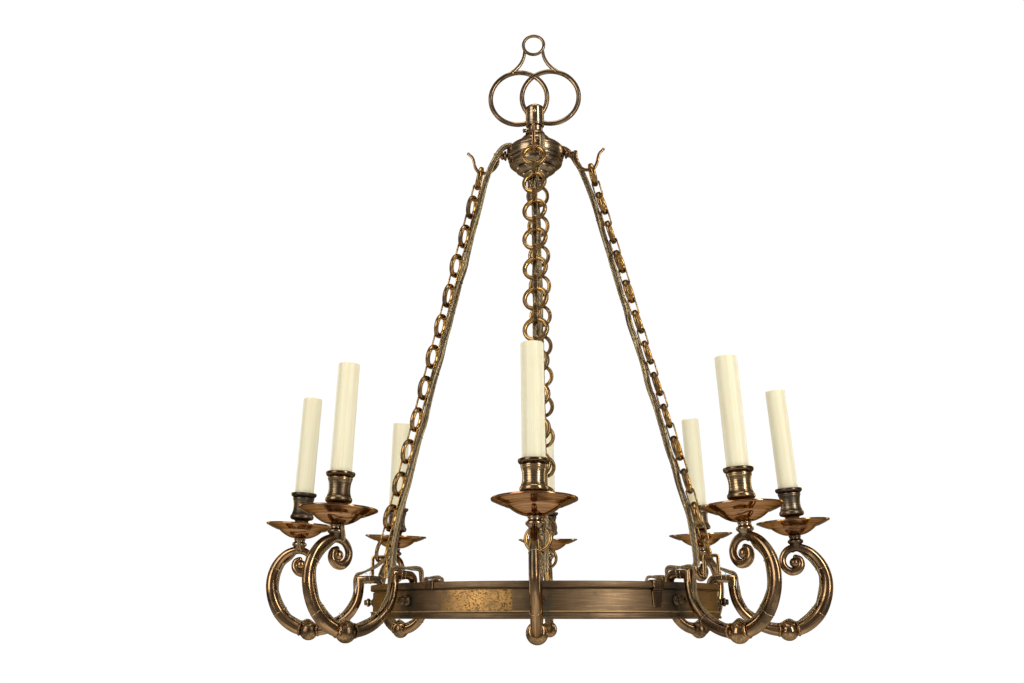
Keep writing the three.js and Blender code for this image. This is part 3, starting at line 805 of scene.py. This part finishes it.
def strap_link(i, rng):
    half_long = PITCH / 2 - LINK_RADIUS + LINK_WIRE + STRAP_THICK / 2
    half_wide = STRAP_HALF - STRAP_THICK / 2
    corner = 2.2
    gap = 0.35
    x, z = half_wide - corner, half_long - corner
    rows = []
    for cx, cz, start in ((x, z, 0), (-x, z, 90), (-x, -z, 180), (x, -z, 270)):
        for step in range(7):
            a = math.radians(start + 15 * step)
            rows.append([cx + corner * math.cos(a), cz + corner * math.sin(a)])
    lower = [[half_wide, -half_long * 0.4], [half_wide, -gap]]
    path = [[half_wide, gap], [half_wide, half_long * 0.4]] + rows + lower
    path = [[x, z, STRAP_THICK / 2, STRAP_DEPTH / 2] for x, z in path]
    strap = flat_sweep(path, SOFT_SQUARE, ends=(0.15, 0.15))
    turn = Matrix.Rotation(math.radians(rng.uniform(-3, 3)), 4, "Z")
    return moved(strap, Matrix.Translation((0, 0, -LINK_RADIUS - (i + 0.5) * PITCH)) @ turn)


def tie_loop(height):
    """A thread tied round a chain's flex."""
    angle = np.arange(30) * TAU / 30
    loop = TIE_RADIUS * superellipse(30)
    points = np.stack([loop[:, 0] - TIE_INWARD, loop[:, 1], height + 0.5 * np.sin(angle)], 1)
    return cord_sweep(points, 0.3, 6, True)


def chain(index):
    name = STATIONS[index]
    rng = random.Random(40 + index)
    body = f"chain_{name}"
    matrix = chain_matrix(index)
    rounds = [round_link(i, rng) for i in range(LINKS)]
    straps = [strap_link(i, rng) for i in range(LINKS - 1)]
    piece(f"chain_{name}_round_links", rounds, matrix, chain_brass, body, [f"chain_{name}"])
    piece(f"chain_{name}_strap_links", straps, matrix, chain_brass, body, [f"chain_{name}"])
    # The flex leaves the hub, passes beside the hook, then lies along the chain's inner side.
    route = [
        [30.0, 7.4, 566.4], [35.5, 8.2, 566.0], [40.4, 8.8, 563.6], [44.8, 9.4, 559.2], [50.2, 9.6, 550.6],
        [56.0, 9.4, 539.4], [61.0, 8.6, 527.0], [65.4, 5.4, 513.6], [69.8, 1.6, 498.4], [74.0, 0, 482]
    ]
    for half in range(5, 2 * LINKS - 3):
        share = (LINK_RADIUS + 0.5 * half * PITCH) / np.linalg.norm(CHAIN_RUN)
        bulge = 0.4 + 0.7 * math.sin(1.3 * half + index) if half % 2 == 0 else 0.0
        at = CHAIN_TOP + CHAIN_RUN * share
        inner = at[0] - FLEX_INWARD - bulge - rng.uniform(-0.1, 0.2)
        route.append([inner, rng.uniform(-0.6, 0.6), at[1] - 2.2])
    route += [[175.6, 0, 62], [176.6, 0, 40]]
    points = spline(route, 250)
    strands = twisted(
        points, STRANDS, STRAND_OFFSET, STRAND_RADIUS, STRAND_PITCH, 10, phase=rng.uniform(0, TAU)
    )
    # Where the flex leaves the hub's motion and where it has taken up the chain's.
    start = at_station(index) @ Matrix.Translation((51.4, 8.9, 557)).to_translation() * MM
    end = at_station(index) @ Matrix.Translation((62.5, 5.0, 512)).to_translation() * MM
    bent = ("hub", body, start, end)
    piece(
        f"chain_{name}_flex", strands[::2], at_station(index), chain_flex, None,
        [f"chain_flex_{name}"], sharp=60, blend=bent
    )
    # Every other strand takes the darker copy: painted shade in the gaps between strands.
    piece(
        f"chain_{name}_flex_painted_shade", strands[1::2], at_station(index), painted_shade_flex, None,
        [f"chain_flex_{name}"], sharp=60, blend=bent
    )
    ties = [tie_loop(-LINK_RADIUS - (i + 0.5) * PITCH) for i in range(1, LINKS - 1)]
    piece(f"chain_{name}_ties", ties, matrix, thread, body, sharp=60)


# ---- Hoop ----
def hoop():
    profile = [
        [194, -18.2], [199.4, -18.2], [200, -17.6], [200, -16.0], [199.1, -15.6], [198.9, -12.6],
        [199.4, -12.3], [200, -11.9], [200.1, -11.3], [199.7, -10.8], [199.0, -10.7], [198.6, -11.0],
        [197.1, -11.2], [197.1, 10.0], [195.6, 10.2], [195.6, 11.5], [199.2, 11.6], [200, 12.2],
        [200, 17.6], [199.4, 18.2], [194, 18.2]
    ]
    band = turned(rounded(profile, 0.35, 2, True), 288, True)
    piece("hoop_band_ring", [band], CENTRE, hoop_brass, "hoop", ["hoop_band"], sharp=30)
    for word, azimuth, tongue in (("right", 37.0, -7.0), ("left", -35.0, 9.0)):
        turn = math.radians(azimuth - 90)
        rows = [
            [193.0, 2, 0.6, 6.2], [193.0, 15.8, 0.6, 6.8], [193.3, 18.2, 0.6, 7.0], [194.8, 19.2, 0.6, 7.0],
            [199.2, 19.2, 0.6, 7.0], [200.8, 18.2, 0.6, 7.0], [201.0, 15.8, 0.6, 6.9],
            [201.0, 11.6, 0.6, 6.6]
        ]
        if tongue < 0:
            rows += [
                [200.2, 10.0, 0.6, 6.8], [198.4, 9.0, 0.6, 6.8], [198.0, 6.5, 0.6, 6.6],
                [198.0, tongue, 0.6, 5.2]
            ]
        clip = flat_sweep(spline(rows, 60), superellipse(20, 7.0), ends=(0.3, 0.3))
        matrix = CENTRE @ Matrix.Rotation(turn, 4, "Z")
        piece(f"hoop_clip_{word}", [clip], matrix, arm_brass, "hoop", sharp=45)


# ---- Arms ----
SCROLL = [
    [215.2, 18, 4.5], [216.4, 8, 4.55], [219.6, -2, 4.7], [227, -13, 5.0], [240, -23.8, 5.3],
    [256, -30.2, 5.6], [275, -32, 5.8], [290, -28.4, 6.6], [303.4, -20, 6.8], [313.6, -8, 6.7],
    [320, 7, 6.4], [322.2, 21, 6.1], [320.4, 34, 5.8], [314.6, 46, 5.5], [304.6, 55.8, 5.2],
    [292, 60.4, 4.7], [282.2, 58.4, 4.2], [276.2, 53.0, 4.0], [273.6, 45.6, 4.0], [275.8, 38.2, 4.2],
    [282, 33.8, 4.6], [289.5, 35.2, 4.8], [294, 40.8, 4.5], [293.2, 46.8, 4.0], [288.4, 49.6, 3.3]
]
BALL = (275, 0, -31.7)
BALL_NEAR = 13
BALL_CLEAR = 10.4
FLEX_RADIUS = 1.9
BINDING_WIRE = 0.24
STEM_HALF = 5.2
RING_FLEX_RADIUS = 182.6
COLLAR_BEAD = [[0, -1.7], [6.0, -1.7], [7.5, -0.9], [7.9, 0.2], [7.3, 1.2], [6.0, 1.7], [0, 1.7]]


def scroll_path():
    rows = spline(SCROLL, 150)
    return np.column_stack([rows, np.minimum(rows[:, 2] * 0.92, STEM_HALF)])


def scroll_frame(path, share):
    """The place on the scroll at a share of its length, its direction, its hollow side and its half size."""
    i = int(round(share * (len(path) - 1)))
    i = min(max(i, 1), len(path) - 2)
    ahead = path[i + 1, :2] - path[i - 1, :2]
    ahead /= np.linalg.norm(ahead)
    return path[i, :2], ahead, np.array((-ahead[1], ahead[0])), path[i, 2:4]


def binding(path, share):
    """A thin wire round the arm and the flex on its hollow side."""
    centre, ahead, hollow, (size_in, size_across) = scroll_frame(path, share)
    points = []
    for k in range(28):
        a = TAU * k / 28
        bulge = max(0.0, math.cos(a)) ** 6 * (2 * FLEX_RADIUS + 0.5)
        out = math.cos(a) * (size_in + BINDING_WIRE * 0.7) + bulge
        side = math.sin(a) * (size_across + BINDING_WIRE * 0.7)
        slip = 0.7 * math.sin(a)
        spot = centre + hollow * out + ahead * slip
        points.append((spot[0], side, spot[1]))
    return cord_sweep(points, BINDING_WIRE, 8, True)


def arm(index):
    name = STATIONS[index]
    station = at_station(index)
    path = scroll_path()
    # The bracket's tongue, bar and elbow, mitred into the scroll.
    bracket = [
        [190.2, -9.6, 2.8, 4.4], [190.2, 8, 2.9, 4.4], [190.2, 17.5, 3.2, 4.4], [190.9, 21.8, 3.9, 4.4],
        [193.6, 25.0, 4.3, 4.4], [198, 26, 4.4, 4.45], [206, 26, 4.4, 4.45], [215, 26, 4.4, 4.4]
    ]
    joined = np.vstack([spline(bracket[:-1], 34), bracket[-1:], path[:1]])
    bar = flat_sweep(joined, SOFT_SQUARE, ends=(0.3, 0))
    whole = np.vstack([[[206, 26, 4.4, 4.4], [215, 26, 4.45, 4.4]], path])
    scroll = flat_sweep(whole, ROUND_FINE, ends=(0, 0.9))
    piece(f"arm_{name}_bracket", [bar], station, arm_brass, "hoop", [f"arm_{name}"])
    beads = []
    for side, rise, tilt in ((-1, 1.4, 0.06), (1, 2.0, 0.20)):
        bead = turned(rounded(COLLAR_BEAD, 0.6), 32, axis="x")
        turn = Matrix.Rotation(-side * tilt, 4, "Y")
        beads.append(moved(bead, Matrix.Translation((BALL[0] + side * 10.4, 0, BALL[2] + rise)) @ turn))
    orb = ball(BALL, 10.7, 0.98, 36)
    end = ball((287, 0, 43.4), 5.6, 1.04, 24)
    piece(
        f"arm_{name}_scroll", [scroll, orb, end] + beads, station, arm_brass, "hoop",
        [f"arm_{name}"]
    )
    bobbin = [
        [0, -5.5], [5.0, -5.5], [5.6, -2.6], [7.2, -0.8], [8.6, 0.4], [8.9, 1.8], [8.4, 3.2], [7.0, 3.9],
        [6.3, 4.6], [6.3, 6.4], [6.9, 7.2], [6.9, 8.3], [0, 8.3]
    ]
    piece(
        f"arm_{name}_bobbin", [turned(rounded(bobbin, 0.6), 48)], at_station(index, True), hub_brass,
        "hoop", [f"arm_{name}"]
    )
    if index in CHAIN_STATIONS:
        outline = [
            [185, 28], [185, 49.6], [185.5, 51.2], [187, 52], [199, 52], [200.5, 51.2], [201, 49.6],
            [201, 28]
        ]
        staple = [[x, z, 2.0, 2.0] for x, z in outline]
        piece(
            f"arm_{name}_staple", [flat_sweep(staple, SOFT_SQUARE)], station, chain_brass,
            "hoop", [f"arm_{name}"]
        )
    knob = [
        [0, 188], [2.1, 188], [2.1, 197.4], [5.6, 197.4], [5.8, 198.5], [4.9, 199.9], [3.0, 201.0],
        [2.6, 202.3], [3.9, 203.2], [4.9, 204.7], [4.7, 206.2], [3.3, 207.2], [2.9, 207.9], [3.4, 208.8],
        [2.7, 209.9], [0, 210.2]
    ]
    piece(
        f"knob_screw_{name}_turned", [turned(rounded(knob, 0.3), 36, axis="x")], station, screw_brass,
        "hoop", [f"knob_screw_{name}"]
    )
    wires = [binding(path, share) for share in (0.15, 0.36, 0.52)]
    for x in (203.5, 208.5):
        points = [
            (x + 0.3 * math.sin(TAU * k / 28), 4.9 * s, 27.6 + 6.4 * c)
            for k, (c, s) in enumerate(superellipse(28, 3.0))
        ]
        wires.append(cord_sweep(points, 0.26, 8, True))
    piece(f"arm_{name}_binding_wires", wires, station, wire_brass, "hoop", sharp=60)
    # The twisted flex: over the bar, round the elbow, along the scroll's hollow side, into the bobbin.
    if index in CHAIN_STATIONS:
        route = [
            [176.2, 0, 66], [178.8, 2.6, 58], [184.2, 4.8, 50.4], [191, 5.4, 44.6], [199, 4.8, 39.6],
            [207, 3.8, 36.2], [213, 2.9, 33.8]
        ]
    else:
        route = [
            [182.6, 4.2, 8], [182.6, 4.2, 20], [183.2, 4.0, 30.4], [187.4, 3.6, 32.8], [196, 3.2, 32.9],
            [206, 2.9, 32.9], [213, 2.7, 33.0]
        ]
    route += [[218.6, 2.3, 31.8], [221.2, 1.6, 27], [221.8, 0.8, 20]]
    for share in np.arange(0.045, 0.60, 0.03):
        spot, _, hollow, (reach, _) = scroll_frame(path, share)
        near = math.hypot(spot[0] - BALL[0], spot[1] - BALL[2])
        if near < BALL_NEAR:
            reach = max(reach, math.sqrt(max(0.0, BALL_CLEAR ** 2 - near ** 2)) + 0.2)
        place = spot + hollow * (reach + 1.5)
        route.append([place[0], 0.0, place[1]])
    for share, out in ((0.625, 0.6), (0.65, 3.4)):
        spot, _, hollow, (size_in, across) = scroll_frame(path, share)
        place = spot + hollow * (size_in * 0.5)
        route.append([place[0], across + out, place[1]])
    route += [[288.6, 9.6, 69.2], [288.0, 8.4, 73.0], [288.2, 5.4, 73.4]]
    # Over the bar the cord is stouter where it doesn't leave a chain's bundle.
    stout = 0.0 if index in CHAIN_STATIONS else 0.25
    stout = stout * np.interp(np.arange(300), (0, 84, 104), (1.0, 1.0, 0.0))
    strands = twisted(spline(route, 300), 2, 1.05 + stout, 1.2 + stout, 64, 8, phase=0.5 * index)
    piece(f"arm_{name}_flex", strands, station, arm_flex, "hoop", ["wiring_harness"], sharp=60)


def ring_harness():
    angle = np.arange(420) * TAU / 420
    x, y = RING_FLEX_RADIUS * np.cos(angle), RING_FLEX_RADIUS * np.sin(angle)
    points = np.stack([x, y, 8 + 0.5 * np.sin(8 * angle)], 1)
    piece(
        "ring_flex", twisted(points, 3, 1.35, 1.25, 30, 8, closed=True), CENTRE, arm_flex,
        "hoop", ["wiring_harness"], sharp=60
    )


# ---- Pans, cups, lampholders and candle sleeves, along each leaning axis ----
def candle(index):
    name = STATIONS[index]
    leaning = at_station(index, True)
    pan = [
        [4.4, 8.6], [9.0, 8.7], [13.0, 9.7], [17.5, 11.7], [21.4, 14.1], [24.4, 16.5], [26.0, 18.3],
        [27.0, 18.5], [27.9, 17.9], [28.8, 17.9], [30.2, 18.6], [33.5, 19.8], [37.5, 21.6], [40.0, 22.9],
        [41.0, 23.1], [41.4, 23.9], [41.3, 24.9], [40.4, 25.4], [39.2, 24.9], [36.4, 22.9], [33.0, 21.2],
        [29.6, 20.2], [27.0, 20.1], [24.4, 18.3], [20.6, 15.2], [16.8, 12.9], [12.8, 11.1], [11.0, 10.2],
        [4.4, 10.1]
    ]
    piece(
        f"drip_pan_{name}_dish", [turned(rounded(pan, 0.5, 2, True), 96, True)], leaning, pan_brass,
        "hoop", [f"drip_pan_{name}"], sharp=25
    )
    metal = cup_brass if index in FRONT_STATIONS else cup_dark
    cup = [
        [0, 4.0], [3.5, 4.0], [3.5, 10.4], [8.6, 10.4], [8.8, 11.4], [7.8, 12.6], [7.3, 14.2], [7.2, 23],
        [7.6, 27], [8.4, 29.7], [11.4, 30.4], [12.9, 31.0], [13.8, 32.1], [14.1, 33.5], [13.7, 35.3],
        [12.7, 36.6], [12.0, 37.0], [12.5, 37.3], [12.5, 38.0], [11.8, 38.4], [12.0, 38.9], [11.4, 41],
        [11.1, 45], [11.3, 49], [12.1, 53.0], [12.6, 53.6], [12.5, 54.4], [12.9, 55.0], [12.9, 56.2],
        [12.2, 56.8], [13.4, 57.3], [14.8, 58.6], [15.3, 59.9], [15.2, 61.6], [14.4, 62.2], [12.6, 61.9],
        [12.2, 60.8], [12.2, 52.8], [0, 52.8]
    ]
    piece(
        f"candle_cup_{name}_turned", [turned(rounded(cup, 0.45), 72)], leaning, metal, "hoop",
        [f"candle_cup_{name}"], sharp=30
    )
    rod = [[0, 52.6], [5, 52.6], [5, 130], [5.6, 130.6], [5.6, 134], [0, 134]]
    piece(
        f"lampholder_{name}_stem", [turned(rounded(rod, 0.3), 32)], leaning, screw_brass,
        "hoop", [f"candle_cup_{name}"]
    )
    holder = [
        [0, 133], [7.2, 133], [9.0, 135], [9.2, 137], [9.2, 150], [8.9, 150.4], [8.9, 151.4], [9.2, 151.8],
        [9.2, 169.6], [8.7, 170.6], [7.0, 170.6], [6.9, 169.8], [6.9, 147.4], [0, 147.4]
    ]
    piece(
        f"lampholder_{name}_body", [turned(rounded(holder, 0.4), 48)], leaning, phenolic,
        "hoop", [f"candle_cup_{name}"]
    )
    threads = [[6.75 - 0.5 * (k % 2), 149.4 + 1.25 * k] for k in range(15)]
    liner = [[6.75, 148.6]] + threads + [[6.4, 169.4], [6.75, 169.4]]
    piece(
        f"lampholder_{name}_liner", [turned(rounded(liner, 0.25, 2, True), 40, True)], leaning, screw_brass,
        "hoop", [f"candle_cup_{name}"]
    )
    tube = [
        [10.4, 53.2], [11.4, 53.2], [11.42, 70], [11.38, 120], [11.4, 176.4], [11.2, 177.0], [10.6, 177.0],
        [10.4, 176.4]
    ]
    piece(
        f"candle_sleeve_{name}_tube", [turned(rounded(tube, 0.3, 2, True), 72, True)], leaning, candle_card,
        f"sleeve_{name}", [f"candle_sleeve_{name}"]
    )


suspension()
hub()
for station_index in CHAIN_STATIONS:
    hook(station_index)
    chain(station_index)
hoop()
for station_index in range(len(STATIONS)):
    arm(station_index)
    candle(station_index)
ring_harness()

# ---- Floor, world and lights ----
FLOOR_RADIUS = 6
FLOOR_HEIGHT = -1.75
floor_mesh = bpy.data.meshes.new("floor")
floor_circle = [(FLOOR_RADIUS * c, FLOOR_RADIUS * s, FLOOR_HEIGHT) for c, s in superellipse(96)]
floor_mesh.from_pydata(floor_circle, [], [tuple(range(96))])
floor = bpy.data.objects.new("floor", floor_mesh)
bpy.context.scene.collection.objects.link(floor)
paper = material_nodes("pale_floor")
grain = paper.noise(paper.place(), 3, 3, 0.5)
pale = paper.mix(paper.ramp(grain, 0.3, 0.7), (0.86, 0.86, 0.86), (0.90, 0.90, 0.89))
floor_mesh.materials.append(paper.finish(Base_Color=pale, Roughness=0.75))

# A dim room, lighter behind the object and above it. The camera itself sees plain white.
world = bpy.data.worlds.new("studio")
bpy.context.scene.world = world
sky = Nodes(world)
_, depth, height = sky.parts(sky.new("TexCoord").outputs["Generated"])
room = sky.plus(sky.ramp(depth, 0.36, 0.75, 0.0, 0.24), 0.17)
room = sky.plus(room, sky.ramp(height, 0.55, 0.95, 0.0, 0.25))
lit = sky.new("Background", Strength=room, Color=(1, 0.985, 0.98, 1))
white = sky.new("Background", Strength=1.02, Color=(1, 1, 1, 1))
chosen = sky.new("MixShader")
sky.put(chosen.inputs[0], sky.new("LightPath").outputs["Is Camera Ray"])
sky.put(chosen.inputs[1], lit.outputs[0])
sky.put(chosen.inputs[2], white.outputs[0])
sky.new("OutputWorld", Surface=chosen.outputs[0])

OBJECT_MIDDLE = -0.42
SOFTBOX_TINT = (1, 0.985, 0.975)


def softbox(name, azimuth, elevation, distance, width, tall, radiance):
    """A soft panel aimed at the object's middle. Azimuth 0 is the front."""
    data = bpy.data.lights.new(name, "AREA")
    data.shape = "RECTANGLE"
    data.size = width
    data.size_y = tall
    data.energy = radiance * math.pi * width * tall
    data.color = SOFTBOX_TINT
    light = bpy.data.objects.new(name, data)
    a, e = math.radians(azimuth), math.radians(elevation)
    out = np.array((math.sin(a) * math.cos(e), -math.cos(a) * math.cos(e), math.sin(e)))
    light.location = tuple(out * distance + (0, 0, OBJECT_MIDDLE))
    light.rotation_euler = (math.radians(90) - e, 0, a)
    light.visible_camera = False
    bpy.context.scene.collection.objects.link(light)


softbox("softbox_left", -42, 12, 2.2, 1.10, 1.9, 3.3)
softbox("softbox_right", 44, 14, 2.2, 0.42, 1.9, 11.5)
softbox("softbox_back_left", -122, 10, 2.4, 0.4, 2.0, 4.5)
softbox("softbox_back_right", 122, 10, 2.4, 0.4, 2.0, 4.5)
softbox("softbox_low", 5, -38, 2.3, 1.3, 0.35, 0.9)
softbox("softbox_top", 0, 82, 1.9, 1.0, 1.0, 3.0)

bpy.context.scene.view_settings.view_transform = "Standard"
